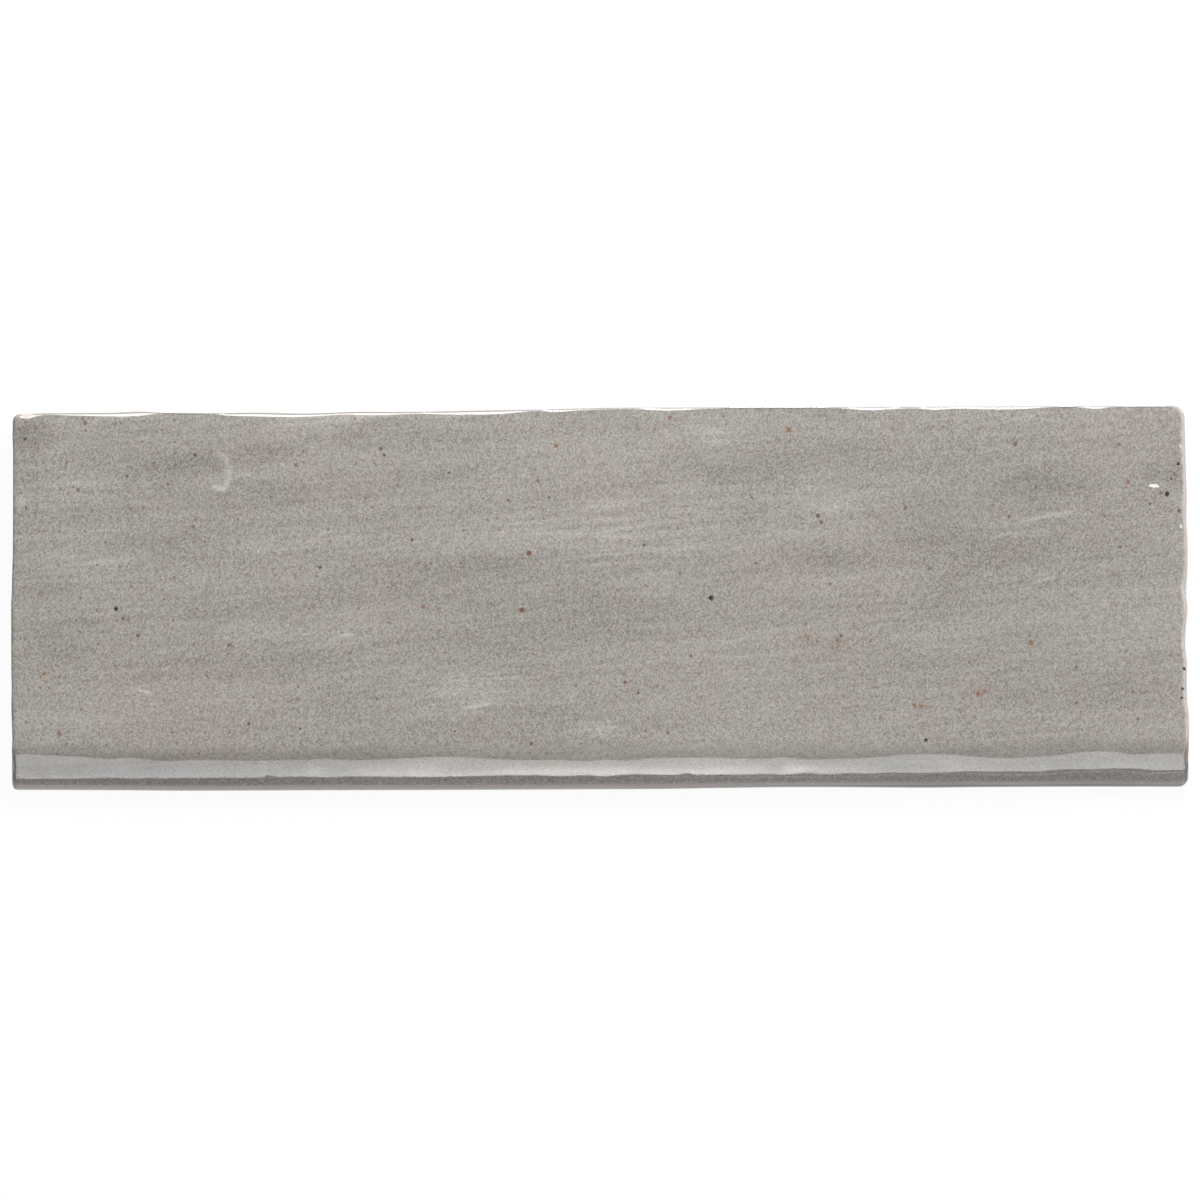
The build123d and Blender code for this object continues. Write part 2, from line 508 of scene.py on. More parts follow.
speckColours = {"rust": ("#744526", 0.84), "tan": ("#8c5f3c", 0.75), "brown": ("#65533a", 0.65),
                "umber": ("#473428", 0.72), "dark": ("#1d1612", 0.95)}
speckReach = 2.0  # a face this near to a speck knows of it, in millimetres


def laidStrokes(marks, widen):
    # middle, direction, half length and half width of each mark, in millimetres
    laid = []
    for start, end, halfWidth, strength in marks:
        a, b = Vector(onTile(*start)), Vector(onTile(*end))
        across = halfWidth * widen * photo["mmPerPixel"]
        laid.append(((a + b) / 2, (b - a).normalized(), (b - a).length / 2 + across, across, strength))
    return laid


def underStroke(here, stroke):
    # a stroke's strength along its middle, falling to 0 at its outline
    middle, way, reach, across, strength = stroke
    off = here - middle
    return strength * max(0.0, 1 - math.hypot(off.dot(way) / reach, off.cross(way) / across))


def paintMarks(bm):
    # strokes and blooms on the points of the face, and on each face its nearest speck
    brushed = bm.verts.layers.float.new("brushed")
    bloomed = bm.verts.layers.float.new("bloomed")
    pooledAndHighlight = bm.verts.layers.float.new("pooledAndHighlight")
    brushMarks, bloomMarks = laidStrokes(strokes, strokeWidening), laidStrokes(blooms, bloomWidening)
    long, far, seed = strokeWander
    noise.seed_set(seed)  # without it the wandering changes from run to run
    for v in bm.verts:
        if v.normal.z < strokeFacing:
            continue
        p = v.co / mm
        here = p.xy + noise.noise_vector(Vector((p.x / long, p.y / long, seed))).xy * far
        v[brushed] = sum(underStroke(here, stroke) for stroke in brushMarks)
        v[bloomed] = max(underStroke(p.xy, stroke) for stroke in bloomMarks)
        # the curl's paleness, partly pooled glaze and partly a painted highlight
        v[pooledAndHighlight] = curlHeight(p) * glazeRelief["curlPaleness"]

    mark = bm.faces.layers.float_vector.new("speckMark")
    tone = bm.faces.layers.float_vector.new("speckTone")
    share = bm.faces.layers.float.new("speckShare")
    spots = [(kind, onTile(px, py), radius) for kind, marks in specks.items() for px, py, radius in marks]
    finder = kdtree.KDTree(len(spots))
    for number, (kind, spot, radius) in enumerate(spots):
        finder.insert((*spot, 0), number)
    finder.balance()
    for face in bm.faces:
        middle = face.calc_center_median() / mm
        spot, number, away = finder.find((middle.x, middle.y, 0))
        if away > speckReach or face.normal.z < speckFacing:
            continue
        kind, spot, radius = spots[number]
        colour, face[share] = speckColours[kind]
        face[mark] = (*spot, radius * photo["mmPerPixel"])
        face[tone] = linear(colour)[:3]


def makeTile():
    bm = bmesh.new()
    tileBlock(bm)
    gridCuts(bm)
    beddingSide(bm)
    blockPlace = bm.verts.layers.float_vector.new("blockPlace")
    curves = edgeCurves()
    bm.normal_update()
    for v in bm.verts:
        p = v.co / mm
        v[blockPlace] = p  # where it was on the block, for what follows the edges
        v.co = unevenOutline(onGlaze(rolledRim(p), v.normal) * mm, curves)
    bm.normal_update()
    paintMarks(bm)
    for face in bm.faces:
        face.smooth = face.normal.z > tileShape["bedFacing"]
        onBed = not face.smooth or face.calc_center_median().z < keyRecess["depth"] and face.normal.z < -0.1
        face.material_index = 1 if onBed else 0
    for edge in bm.edges:
        edge.smooth = edge.calc_face_angle(0.0) < tileShape["creaseAngle"]
    return newObject("bullnose_tile", bm)


tile = makeTile()
triangles = sum(len(p.vertices) - 2 for p in tile.data.polygons)
print("tile mesh:", len(tile.data.polygons), "faces,", triangles, "triangles")


# Warm grey glaze, brushed on and fired glossy over pale clay: a hard clear shine over cloudy
# brush streaks, a fine salt and pepper grain, and rust and brown specks from the clay

glaze = {
    "thinAndShade": "#7b7670",  # the clay's brown shows through, and the nose's painted shade darkens towards it
    "worn": "#928d87",
    "body": "#a5a09a",
    "full": "#b5b0ab",
    "thick": "#c8c4c0",
    "pink": "#ae9f96",
    "green": "#9e9f94",
    "tintShare": 0.14,
    "rimHighlight": "#f6f4f1",  # a painted highlight along the butt rim
    "highlightInner": (0.70, 0.58),  # its two sides, from the butt edge, where each begins and is full
    "highlightOuter": (0.15, 0.23),
    "highlightLeft": (-98.9, -98.4),  # and its two ends, along the tile
    "highlightRight": (97.8, 96.8),
    "wallMargin": 0.04,  # the rim's painted highlight and grey line end this far from a wall
    "rimFade": 0.6,
    "rimLine": "#a39b93",
    "rimLineFar": "#c4beb9",
    "lineFading": (-30.0, 20.0),  # fainter towards the right
    "endLineAndShade": "#6e5f55",
    # the ends' colours: a brown line, partly painted shade, and a thin-glazed pink strip, painted paler as
    # lit
    "thinAndLitStrip": "#d6cac3",
    "leftLine": (-99.05, -99.35, 0.7),  # begins, full, share
    "rightStrip": (99.75, 100.35, 0.8),
    "noseEnds": (99.25, 99.5, 0.7),
    "endRaggedness": 1.4,
    "endWobble": 1.2,
    "foot": "#cfc3bd",  # paler and pinker again low on the nose, painted light from the floor
    "footHeight": 4.7,
    "footShare": 0.53,
    "footEdge": 0.15,
    "footFall": 0.5,  # lower at the right end
    "fallX": (70.0, 88.0),
    "footShade": "#57504e",  # and painted shade along the very foot, to the right
    "lineHeight": 3.5,
    "lineShare": 0.75,
    "lineFullX": 45.0,
    "blush": "#b89c92",
    "blushShare": 0.16,
    "dust": "#80623c",
    "dustShare": 0.72,
    "dustRadius": (0.17, 0.06),  # outside and inside a grain, in parts of its cell
    "dustChosen": (0.64, 0.92),
    "dustDrift": -0.0011,  # more are chosen to the left
    "bloom": "#985f34",
    "powder": (0.46, 0.68),
    # pale glaze, also used for painted glints and for the curl's painted highlight
    "paleAndGlint": "#f4f2ee",
    "lineWidening": 1.4,
    "leastSpeck": 0.01,
    "speckEdge": (1.4, 0.6),  # outside and inside it, in radii
    "speckUneven": (0.75, 1.15),
    "roughness": 0.1,
    "ior": 1.52,
    # pattern sizes in millimetres, along and across the brush
    "cloudSize": (55.0, 7.0),
    "streakSize": (16.0, 1.0),
    "brushTurn": math.radians(4),
    "runOn": (0.6, 0.8, 0),  # how far a pattern moves on with each millimetre of height
    "jitterSize": 0.35,
    "jitterReach": 0.45,
    "grainSize": 0.22,
    "grainHue": 0.009,  # how far single grains stray in colour
    "tintSize": 14.0,
    "peelSize": 1.8,
    "speckSpacing": 1.9,
    "powderSize": 0.55,
    # how much each layer shifts the glaze between thin and thick
    "cloudShare": 0.45,
    "streakShare": 0.33,
    "grainShare": 0.7,
    "strokeShare": 0.6,
    "bristles": (0.3, 0.7),
    "noseFade": (1.0, -2.5),  # from where the face begins to fall
    # painted shade: the nose darker towards the left
    "noseLeftShade": 0.1,
    "leftShadeFullX": -60.0,
    "noseSmoothing": 0.35,  # the grain runs smoother on the nose
    "smoothFoot": 6.6,  # height where it grows coarse again
    "smoothEdge": 0.25,
    "footGrain": 0.9,
    "peelHeight": 0.003,
    "pitDepth": 0.03,
}

# Fine pale lines, and small painted glints: from, to, half width in pixels, strength
paleLinesAndGlints = (
    ((1005, 525), (1090, 507), 1.4, 0.25),
    ((985, 537), (1040, 530), 1.4, 0.15),
    ((1030, 583), (1055, 577), 1.8, 0.25),
    ((455, 711), (500, 701), 1.8, 0.3),
    ((136, 689), (153, 694), 1.8, 0.4),
    ((162, 671), (173, 665), 1.4, 0.35),
    ((338, 636), (354, 634), 2.2, 0.35),
    ((50, 453), (64, 452), 1.2, 0.4),
    ((16, 503), (24, 500), 5.0, 0.3),
    ((596, 734), (614, 732), 6.0, 0.1),
    # painted highlights: glints of light on small dents
    ((1149, 485.5), (1158, 486), 1.4, 3.0),
    ((1181, 525), (1181, 527), 1.2, 1.2),
    ((1180, 445), (1181, 447), 1.2, 1.0),
)

clay = {
    "colour": "#d6c9bd",
    "shade": "#c6b5a6",
    "fresh": "#ded1c7",  # where it has chipped
    "edge": "#8a7763",  # where the glaze ends thinly
    "roughness": 0.85,
    "grainSize": 0.6,
    "grainHeight": 0.05,
    "mottleSize": 12.0,
    "mottle": (0.35, 0.65),
    "glazeLine": 2.6,  # height that the glaze runs down to on the walls
    "frontLine": -1.0,  # the front is glazed to its foot
    "lineRise": (-30.0, -26.0),  # behind the front the line rises
    "lineSwing": 3.0,
    "lineSize": 8.0,
    "thinGlaze": (-0.7, 0.0, 0.6),  # begins and is full this far under the line, and its share
    "bareEdge": (-0.05, 0.12, 1.0),
}


def strokeShape(tree, place, start, end, halfWidth):
    # one stroke laid flat on the face, 1 along its middle and 0 at its outline
    a, b = Vector(onTile(*start)), Vector(onTile(*end))
    along, middle = b - a, (a + b) / 2
    reach = along.length / 2 + halfWidth * photo["mmPerPixel"]
    laid = addNode(tree, "Mapping", {
        "Vector": place,
        "Location": (middle.x, middle.y, 0),
        "Rotation": (0, 0, math.atan2(along.y, along.x)),
        "Scale": (reach, halfWidth * photo["mmPerPixel"], 1000.0),
    }, vector_type="TEXTURE")
    return addNode(tree, "TexGradient", {"Vector": laid}, gradient_type="SPHERICAL")


def glazePlaces(tree):
    # what the layers share: places in millimetres on the tile and on the true block, and the block's parts
    onObject = addNode(tree, "TexCoord").outputs["Object"]
    place = addNode(tree, "VectorMath", {0: onObject, "Scale": 1 / mm}, operation="SCALE")
    block = addNode(tree, "Attribute", attribute_name="blockPlace").outputs["Vector"]
    x, y, z = addNode(tree, "SeparateXYZ", {0: block}).outputs[:]

    # flat coordinates that run on down the nose and the walls
    height = addNode(tree, "SeparateXYZ", {0: place}).outputs["Z"]
    leaning = addNode(tree, "VectorMath", {0: height, 1: glaze["runOn"], 2: place}, operation="MULTIPLY_ADD")
    grain = addNode(tree, "TexVoronoi", {"Vector": leaning, "Scale": 1 / glaze["grainSize"]},
                    voronoi_dimensions="2D").outputs["Color"]

    # a little jitter, for outlines that aren't drawn with compasses
    flat = addNode(tree, "VectorMath", {0: place, 1: (1, 1, 0)}, operation="MULTIPLY")
    jitter = addNode(tree, "TexNoise", {"Vector": place, "Scale": 1 / glaze["jitterSize"], "Detail": 1.0})
    jitter = addNode(tree, "VectorMath", {0: jitter.outputs["Color"], 1: (0.5, 0.5, 0.5)},
                     operation="SUBTRACT")
    reach = (glaze["jitterReach"], glaze["jitterReach"], 0)
    ragged = addNode(tree, "VectorMath", {0: jitter, 1: reach, 2: flat}, operation="MULTIPLY_ADD")

    # the nose, the rim, and all but the end walls
    begins, full = glaze["noseFade"]
    nose = addNode(tree, "MapRange", {"Value": y, "From Min": noseTop + begins, "From Max": noseTop + full},
                   interpolation_type="SMOOTHSTEP")
    rimFoot = (tileHigh.z - tileShape["rimRounding"]) / mm
    onRim = addNode(tree, "MapRange", {"Value": z, "From Min": rimFoot - glaze["rimFade"],
                                       "From Max": rimFoot})
    outwards = addNode(tree, "Math", {0: x}, operation="ABSOLUTE")
    offEnds = addNode(tree, "MapRange", {"Value": outwards, "From Min": halfLength,
                                         "From Max": halfLength - glaze["wallMargin"]})
    return {"place": place, "x": x, "y": y, "z": z, "leaning": leaning, "grain": grain, "ragged": ragged,
            "nose": nose, "onRim": onRim, "outwards": outwards, "offEnds": offEnds}


def glazeDepth(tree, at):
    # how thick the glaze lies, about 0.5 on the whole, less on the left of the nose as painted shade; its
    # grain is smoother on the nose, down to its foot
    below, soft = glaze["smoothFoot"], glaze["smoothEdge"]
    under = addNode(tree, "MapRange", {"Value": at["z"], "From Min": below + soft, "From Max": below - soft,
                                       "To Max": glaze["footGrain"]})
    grainShare = addNode(tree, "MapRange", {"Value": at["nose"], "To Min": glaze["grainShare"],
                                            "To Max": glaze["grainShare"] * (1 - glaze["noseSmoothing"])})
    grainShare = addNode(tree, "Math", {0: under, 1: at["nose"], 2: grainShare}, operation="MULTIPLY_ADD")
    brushings = []
    for name, detail, roughness in (("cloudSize", 3.0, 0.55), ("streakSize", 2.0, 0.6)):
        along, across = glaze[name]
        laid = addNode(tree, "Mapping", {"Vector": at["place"], "Rotation": (0, 0, glaze["brushTurn"]),
                                         "Scale": (along, across, across)}, vector_type="TEXTURE")
        brushings.append(addNode(tree, "TexNoise", {"Vector": laid, "Scale": 1.0, "Detail": detail,
                                                    "Roughness": roughness}))
    cloud, streak = brushings
    depth = 0.5
    for layer, share in ((cloud, glaze["cloudShare"]), (streak, glaze["streakShare"]),
                         (at["grain"], grainShare)):
        around = addNode(tree, "Math", {0: layer, 1: 0.5}, operation="SUBTRACT")
        depth = addNode(tree, "Math", {0: around, 1: share, 2: depth}, operation="MULTIPLY_ADD")
    # the bristles leave streaks within a stroke
    brushed = addNode(tree, "Attribute", attribute_name="brushed").outputs["Fac"]
    low, high = glaze["bristles"]
    bristles = addNode(tree, "MapRange", {"Value": streak, "From Min": low, "From Max": high,
                                          "To Max": 2 * glaze["strokeShare"]})
    depth = addNode(tree, "Math", {0: brushed, 1: bristles, 2: depth}, operation="MULTIPLY_ADD")
    # and painted shade: the nose darker towards the left
    thinAndShade = addNode(tree, "MapRange", {"Value": at["x"], "From Min": 0.0, "From Max": glaze["leftShadeFullX"],
                                      "To Max": glaze["noseLeftShade"]})
    thinAndShade = addNode(tree, "Math", {0: thinAndShade, 1: at["nose"]}, operation="MULTIPLY")
    return addNode(tree, "Math", {0: depth, 1: thinAndShade}, operation="SUBTRACT")


# Each function below gives layers that are laid over the glaze's colour: how much, and what colour

def tintLayers(tree, at):
    # faint drifts of pink and green
    drift = addNode(tree, "TexNoise", {"Vector": at["place"], "Scale": 1 / glaze["tintSize"], "Detail": 3.0})
    layers = []
    for name, low, high in (("pink", 0.5, 0.8), ("green", 0.5, 0.2)):
        share = addNode(tree, "MapRange", {"Value": drift, "From Min": low, "From Max": high,
                                           "To Max": glaze["tintShare"]})
        layers.append((share, linear(glaze[name])))
    return layers


def dustLayers(tree, at):
    # brown dust in the clay, more of it to the left, and blooms of rust where it gathers
    cells = addNode(tree, "TexVoronoi", {"Vector": at["leaning"], "Scale": 1 / glaze["speckSpacing"]},
                    voronoi_dimensions="2D")
    outside, inside = glaze["dustRadius"]
    dust = addNode(tree, "MapRange", {"Value": cells.outputs["Distance"], "From Min": outside,
                                      "From Max": inside, "To Max": glaze["dustShare"]})
    chosen = addNode(tree, "Math", {0: at["x"], 1: glaze["dustDrift"], 2: cells.outputs["Color"]},
                     operation="MULTIPLY_ADD")
    low, high = glaze["dustChosen"]
    chosen = addNode(tree, "MapRange", {"Value": chosen, "From Min": low, "From Max": high})
    dust = addNode(tree, "Math", {0: dust, 1: chosen}, operation="MULTIPLY")
    bloom = addNode(tree, "Attribute", attribute_name="bloomed").outputs["Fac"]
    powder = addNode(tree, "TexNoise", {"Vector": at["place"], "Scale": 1 / glaze["powderSize"],
                                        "Detail": 2.0, "Roughness": 0.7})
    low, high = glaze["powder"]
    powder = addNode(tree, "MapRange", {"Value": powder, "From Min": low, "From Max": high})
    bloom = addNode(tree, "Math", {0: bloom, 1: powder}, operation="MULTIPLY")
    return [(dust, linear(glaze["dust"])), (bloom, linear(glaze["bloom"]))]


def paleAndGlintLayers(tree, at):
    # pale glaze: the curl, partly pooled glaze and partly a painted highlight, fine lines, and painted glints
    paleAndGlint = addNode(tree, "Attribute", attribute_name="pooledAndHighlight").outputs["Fac"]
    for start, end, halfWidth, strength in paleLinesAndGlints:
        line = strokeShape(tree, at["ragged"], start, end, halfWidth * glaze["lineWidening"])
        line = addNode(tree, "Math", {0: line, 1: strength}, operation="MULTIPLY", use_clamp=True)
        paleAndGlint = addNode(tree, "Math", {0: paleAndGlint, 1: line}, operation="MAXIMUM")
    return [(paleAndGlint, linear(glaze["paleAndGlint"]))]


def footLayers(tree, at):
    # low on the nose a blush, then a paler strip of painted light from the floor, then to the right a dark
    # line of painted shade along the foot
    onNose = addNode(tree, "Math", {0: at["y"], 1: noseTop}, operation="LESS_THAN")
    onNose = addNode(tree, "Math", {0: onNose, 1: at["offEnds"]}, operation="MULTIPLY")
    toRight = addNode(tree, "MapRange", {"Value": at["x"], "From Min": 0.0, "From Max": glaze["lineFullX"]})
    toRight = addNode(tree, "Math", {0: toRight, 1: onNose}, operation="MULTIPLY")
    begins, full = glaze["fallX"]
    level = addNode(tree, "MapRange", {"Value": at["x"], "From Min": begins, "From Max": full,
                                       "To Max": glaze["footFall"]})
    level = addNode(tree, "Math", {0: level, 1: at["z"]}, operation="ADD")
    layers = []
    for name, top, share, where in (("blush", glaze["smoothFoot"], glaze["blushShare"], onNose),
                                    ("foot", glaze["footHeight"], glaze["footShare"], onNose),
                                    ("footShade", glaze["lineHeight"], glaze["lineShare"], toRight)):
        below = addNode(tree, "MapRange", {"Value": level, "From Min": top + glaze["footEdge"],
                                           "From Max": top - glaze["footEdge"], "To Max": share})
        below = addNode(tree, "Math", {0: below, 1: where}, operation="MULTIPLY")
        layers.append((below, linear(glaze[name])))
    return layers


def rimHighlightLayers(tree, at):
    # a painted highlight, almost white, along the butt rim, inside a thin grey line, but not down the wall
    back = addNode(tree, "Math", {0: buttEdge, 1: at["y"]}, operation="SUBTRACT")
    shares = []
    for value, low, high in ((back, *glaze["highlightInner"]), (at["x"], *glaze["highlightLeft"]),
                             (at["x"], *glaze["highlightRight"]), (back, 0.0, glaze["wallMargin"])):
        shares.append(addNode(tree, "MapRange", {"Value": value, "From Min": low, "From Max": high}))
    rim = shares[0]
    for share in shares[1:]:
        rim = addNode(tree, "Math", {0: rim, 1: share}, operation="MULTIPLY")
    highlightColour = linear(glaze["rimLine"])
    for value, (low, high), name in ((at["x"], glaze["lineFading"], "rimLineFar"),
                                     (back, glaze["highlightOuter"], "rimHighlight")):
        share = addNode(tree, "MapRange", {"Value": value, "From Min": low, "From Max": high})
        highlightColour = addNode(tree, "Mix", {"Factor": share, "A": highlightColour, "B": linear(glaze[name])},
                            data_type="RGBA")
    return [(rim, highlightColour)]


def endLayers(tree, at):
    # a thin brown line at the left end, partly painted shade; a ragged pale pink strip at the right, where
    # the glaze thins, painted paler as lit; and both ends of the nose painted brown as shade
    torn = addNode(tree, "TexNoise", {"Vector": at["place"], "Scale": 1 / glaze["endRaggedness"],
                                      "Detail": 2.0})
    wobble = addNode(tree, "Math", {0: torn, 1: glaze["endWobble"], 2: at["x"]}, operation="MULTIPLY_ADD")
    rounded = addNode(tree, "Math", {0: at["onRim"], 1: at["nose"]}, operation="MAXIMUM")
    layers = []
    for name, value, where, fade in (("endLineAndShade", wobble, rounded, glaze["leftLine"]),
                                     ("thinAndLitStrip", wobble, rounded, glaze["rightStrip"]),
                                     ("endLineAndShade", at["outwards"], at["nose"], glaze["noseEnds"])):
        begins, full, share = fade
        strip = addNode(tree, "MapRange", {"Value": value, "From Min": begins, "From Max": full,
                                           "To Max": share})
        for part in (where, at["offEnds"]):
            strip = addNode(tree, "Math", {0: strip, 1: part}, operation="MULTIPLY")
        layers.append((strip, linear(glaze[name])))
    return layers


def speckLayers(tree, at):
    # each point knows its nearest speck
    mark = addNode(tree, "Attribute", attribute_name="speckMark").outputs["Vector"]
    x, y, radius = addNode(tree, "SeparateXYZ", {0: mark}).outputs[:]
    spot = addNode(tree, "CombineXYZ", {"X": x, "Y": y})
    away = addNode(tree, "VectorMath", {0: at["ragged"], 1: spot}, operation="DISTANCE").outputs["Value"]
    radius = addNode(tree, "Math", {0: radius, 1: glaze["leastSpeck"]}, operation="MAXIMUM")
    away = addNode(tree, "Math", {0: away, 1: radius}, operation="DIVIDE")
    outside, inside = glaze["speckEdge"]
    speck = addNode(tree, "MapRange", {"Value": away, "From Min": outside, "From Max": inside},
                    interpolation_type="SMOOTHSTEP")
    share = addNode(tree, "Attribute", attribute_name="speckShare").outputs["Fac"]
    least, most = glaze["speckUneven"]
    uneven = addNode(tree, "MapRange", {"Value": at["grain"], "To Min": least, "To Max": most})
    share = addNode(tree, "Math", {0: share, 1: uneven}, operation="MULTIPLY")
    at["pits"] = addNode(tree, "Math", {0: speck, 1: share}, operation="MULTIPLY", use_clamp=True)
    return [(at["pits"], addNode(tree, "Attribute", attribute_name="speckTone").outputs["Vector"])]


def chipShape(tree, at):
    # a notch in the butt rim with two slanting sides
    x, y, z = addNode(tree, "SeparateXYZ", {0: at["ragged"]}).outputs[:]
    chip = glazeRelief["chip"]
    tipX, tipY = onTile(*chip["tip"])
    deep = 1.0
    for side in ("left", "right"):
        slant = addNode(tree, "MapRange", {"Value": x, "From Min": onTile(*chip[side])[0], "From Max": tipX})
        deep = addNode(tree, "Math", {0: slant, 1: deep}, operation="MINIMUM")
    notch = addNode(tree, "MapRange", {"Value": deep, "To Min": onTile(*chip["left"])[1], "To Max": tipY})
    notch = addNode(tree, "Math", {0: y, 1: notch}, operation="SUBTRACT")
    shape = addNode(tree, "MapRange", {"Value": notch, "From Max": chip["edge"]})
    between = addNode(tree, "Math", {0: deep, 1: chip["least"]}, operation="GREATER_THAN")
    for part in (between, at["onRim"]):
        shape = addNode(tree, "Math", {0: shape, 1: part}, operation="MULTIPLY")
    return shape


def clayLayers(tree, at):
    # bare clay under the glaze line on the walls, and in the chip
    line = addNode(tree, "TexNoise", {"Vector": at["place"], "Scale": 1 / clay["lineSize"], "Detail": 2.0})
    begins, full = clay["lineRise"]
    front = addNode(tree, "MapRange", {"Value": at["y"], "From Min": begins, "From Max": full,
                                       "To Min": clay["frontLine"], "To Max": clay["glazeLine"]})
    swing = addNode(tree, "Math", {0: line, 1: 0.5}, operation="SUBTRACT")
    height = addNode(tree, "Math", {0: swing, 1: clay["lineSwing"], 2: front}, operation="MULTIPLY_ADD")
    under = addNode(tree, "Math", {0: height, 1: at["z"]}, operation="SUBTRACT")
    layers = []
    for name, (begins, full, share) in (("edge", clay["thinGlaze"]), ("colour", clay["bareEdge"])):
        bare = addNode(tree, "MapRange", {"Value": under, "From Min": begins, "From Max": full,
                                          "To Max": share})
        layers.append((bare, linear(clay[name])))
    chip = chipShape(tree, at)
    at["bare"] = addNode(tree, "Math", {0: bare, 1: chip}, operation="MAXIMUM")
    return layers + [(chip, linear(clay["fresh"]))]


def warmGreyGlaze():
    material, tree = newMaterial("warmGreyGlaze")
    at = glazePlaces(tree)
    colour = addNode(tree, "ValToRGB", {"Fac": glazeDepth(tree, at)})
    ramp = colour.color_ramp.elements
    for spot, name in ((0.0, "thinAndShade"), (0.28, "worn"), (0.5, "body"), (0.75, "full"), (1.0, "thick")):
        stop = ramp.new(spot) if 0.0 < spot < 1.0 else ramp[0 if spot == 0.0 else -1]
        stop.color = linear(glaze[name])

    # single grains stray in colour
    colour = addNode(tree, "Mix", {"Factor": glaze["grainHue"], "A": colour, "B": at["grain"]},
                     data_type="RGBA", blend_type="LINEAR_LIGHT")
    for layersOf in (tintLayers, dustLayers, paleAndGlintLayers, footLayers, rimHighlightLayers, endLayers, speckLayers,
                     clayLayers):
        for share, tone in layersOf(tree, at):
            colour = addNode(tree, "Mix", {"Factor": share, "A": colour, "B": tone}, data_type="RGBA")
    roughness = addNode(tree, "MapRange", {"Value": at["bare"], "To Min": glaze["roughness"],
                                           "To Max": clay["roughness"]})

    # orange peel in the gloss, and the specks are pits
    peel = addNode(tree, "TexNoise", {"Vector": at["place"], "Scale": 1 / glaze["peelSize"], "Detail": 1.0})
    height = addNode(tree, "Math", {0: peel, 1: glaze["peelHeight"]}, operation="MULTIPLY")
    height = addNode(tree, "Math", {0: at["pits"], 1: -glaze["pitDepth"], 2: height},
                     operation="MULTIPLY_ADD")
    bump = addNode(tree, "Bump", {"Height": height, "Distance": mm})

    shader = addNode(tree, "BsdfPrincipled", {"Base Color": colour, "Roughness": roughness,
                                              "IOR": glaze["ior"], "Normal": bump})
    addNode(tree, "OutputMaterial", {"Surface": shader})
    return material


# Fired clay: pale, matt and slightly pink, with a sandy grain from the press
def firedClay():
    material, tree = newMaterial("firedClay")
    onObject = addNode(tree, "TexCoord").outputs["Object"]
    place = addNode(tree, "VectorMath", {0: onObject, "Scale": 1 / mm}, operation="SCALE")
    mottle = addNode(tree, "TexNoise", {"Vector": place, "Scale": 1 / clay["mottleSize"], "Detail": 5.0})
    low, high = clay["mottle"]
    share = addNode(tree, "MapRange", {"Value": mottle, "From Min": low, "From Max": high})
    colour = addNode(tree, "Mix", {"Factor": share, "A": linear(clay["shade"]), "B": linear(clay["colour"])},
                     data_type="RGBA")
    grain = addNode(tree, "TexNoise", {"Vector": place, "Scale": 1 / clay["grainSize"], "Detail": 2.0})
    bump = addNode(tree, "Bump", {"Height": grain, "Distance": clay["grainHeight"] * mm})
    shader = addNode(tree, "BsdfPrincipled", {"Base Color": colour, "Roughness": clay["roughness"],
                                              "Normal": bump})
    addNode(tree, "OutputMaterial", {"Surface": shader})
    return material


tile.data.materials.append(warmGreyGlaze())
tile.data.materials.append(firedClay())
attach(tile, "root")
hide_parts("trim_tile")
print("materials ready")


# Studio: white floor, soft key from behind, and a card in front that only shows in the glaze

studio = {
    "floorSize": 6.0,
    "floorGap": 0.05 * mm,  # just clear of the tile's back
    "floorColour": "#e8e8e8",
    "floorGlow": 1.02,
    "floorGlowShare": 0.93,
    "mirroredGlowShare": 0.6,  # less in reflections, where the tile's own shade shows
    "patchY": -0.095,
    "patchReach": 0.035,
    "patchFade": 0.03,
    "patchGlow": 1.6,
    "worldLight": 0.28,
    "keyPlace": (0.25, 0.75, 0.9),
    "keySize": 0.5,
    "keyPower": 15.0,
    "cardY": -0.6,
    "cardHalfWidth": 0.3,
    "cardTop": 38.5,  # degrees from straight up, where the card ends
    "cardGlow": 3.86,
    "cardLowGlow": 2.5,  # brighter towards its foot
    "lowPower": 1.5,
    "cardMiddleGlow": 0.3,  # and towards its middle
    "cardHotGlow": 7.2,  # most of all where the two meet
    "hotPower": 1.6,
    "hotLift": 0.15,
    "hotFoot": 0.45,
    "cardFoot": 0.02,  # dark strip along the floor
    "middleX": 0.002,
    "middleReach": 0.075,
    "endsFrom": 0.1,
    "endsTo": 0.16,
    "endsGlow": 0.85,
    "cardCool": "#f9fcff",
    "cardWarm": "#fffcf9",
    "flagHeight": 0.6,
    "flagFront": -0.48,
    "flagBack": 0.35,
    "flagHalfWidth": 0.5,
    "flagShade": "#101010",
    "cameraHeight": 4.0,
    "sensorWidth": 36.0,
    "clipEnd": 20.0,
}


def seenDirectly(tree, mirrored=1.0):
    # 1 for rays from the camera, and mirrored for those that a shiny or clear surface sends on
    path = addNode(tree, "LightPath")
    sent = addNode(tree, "Math", {0: path.outputs["Is Glossy Ray"], 1: path.outputs["Is Transmission Ray"]},
                   operation="MAXIMUM")
    sent = addNode(tree, "Math", {0: sent, 1: mirrored}, operation="MULTIPLY")
    return addNode(tree, "Math", {0: sent, 1: path.outputs["Is Camera Ray"]}, operation="MAXIMUM")


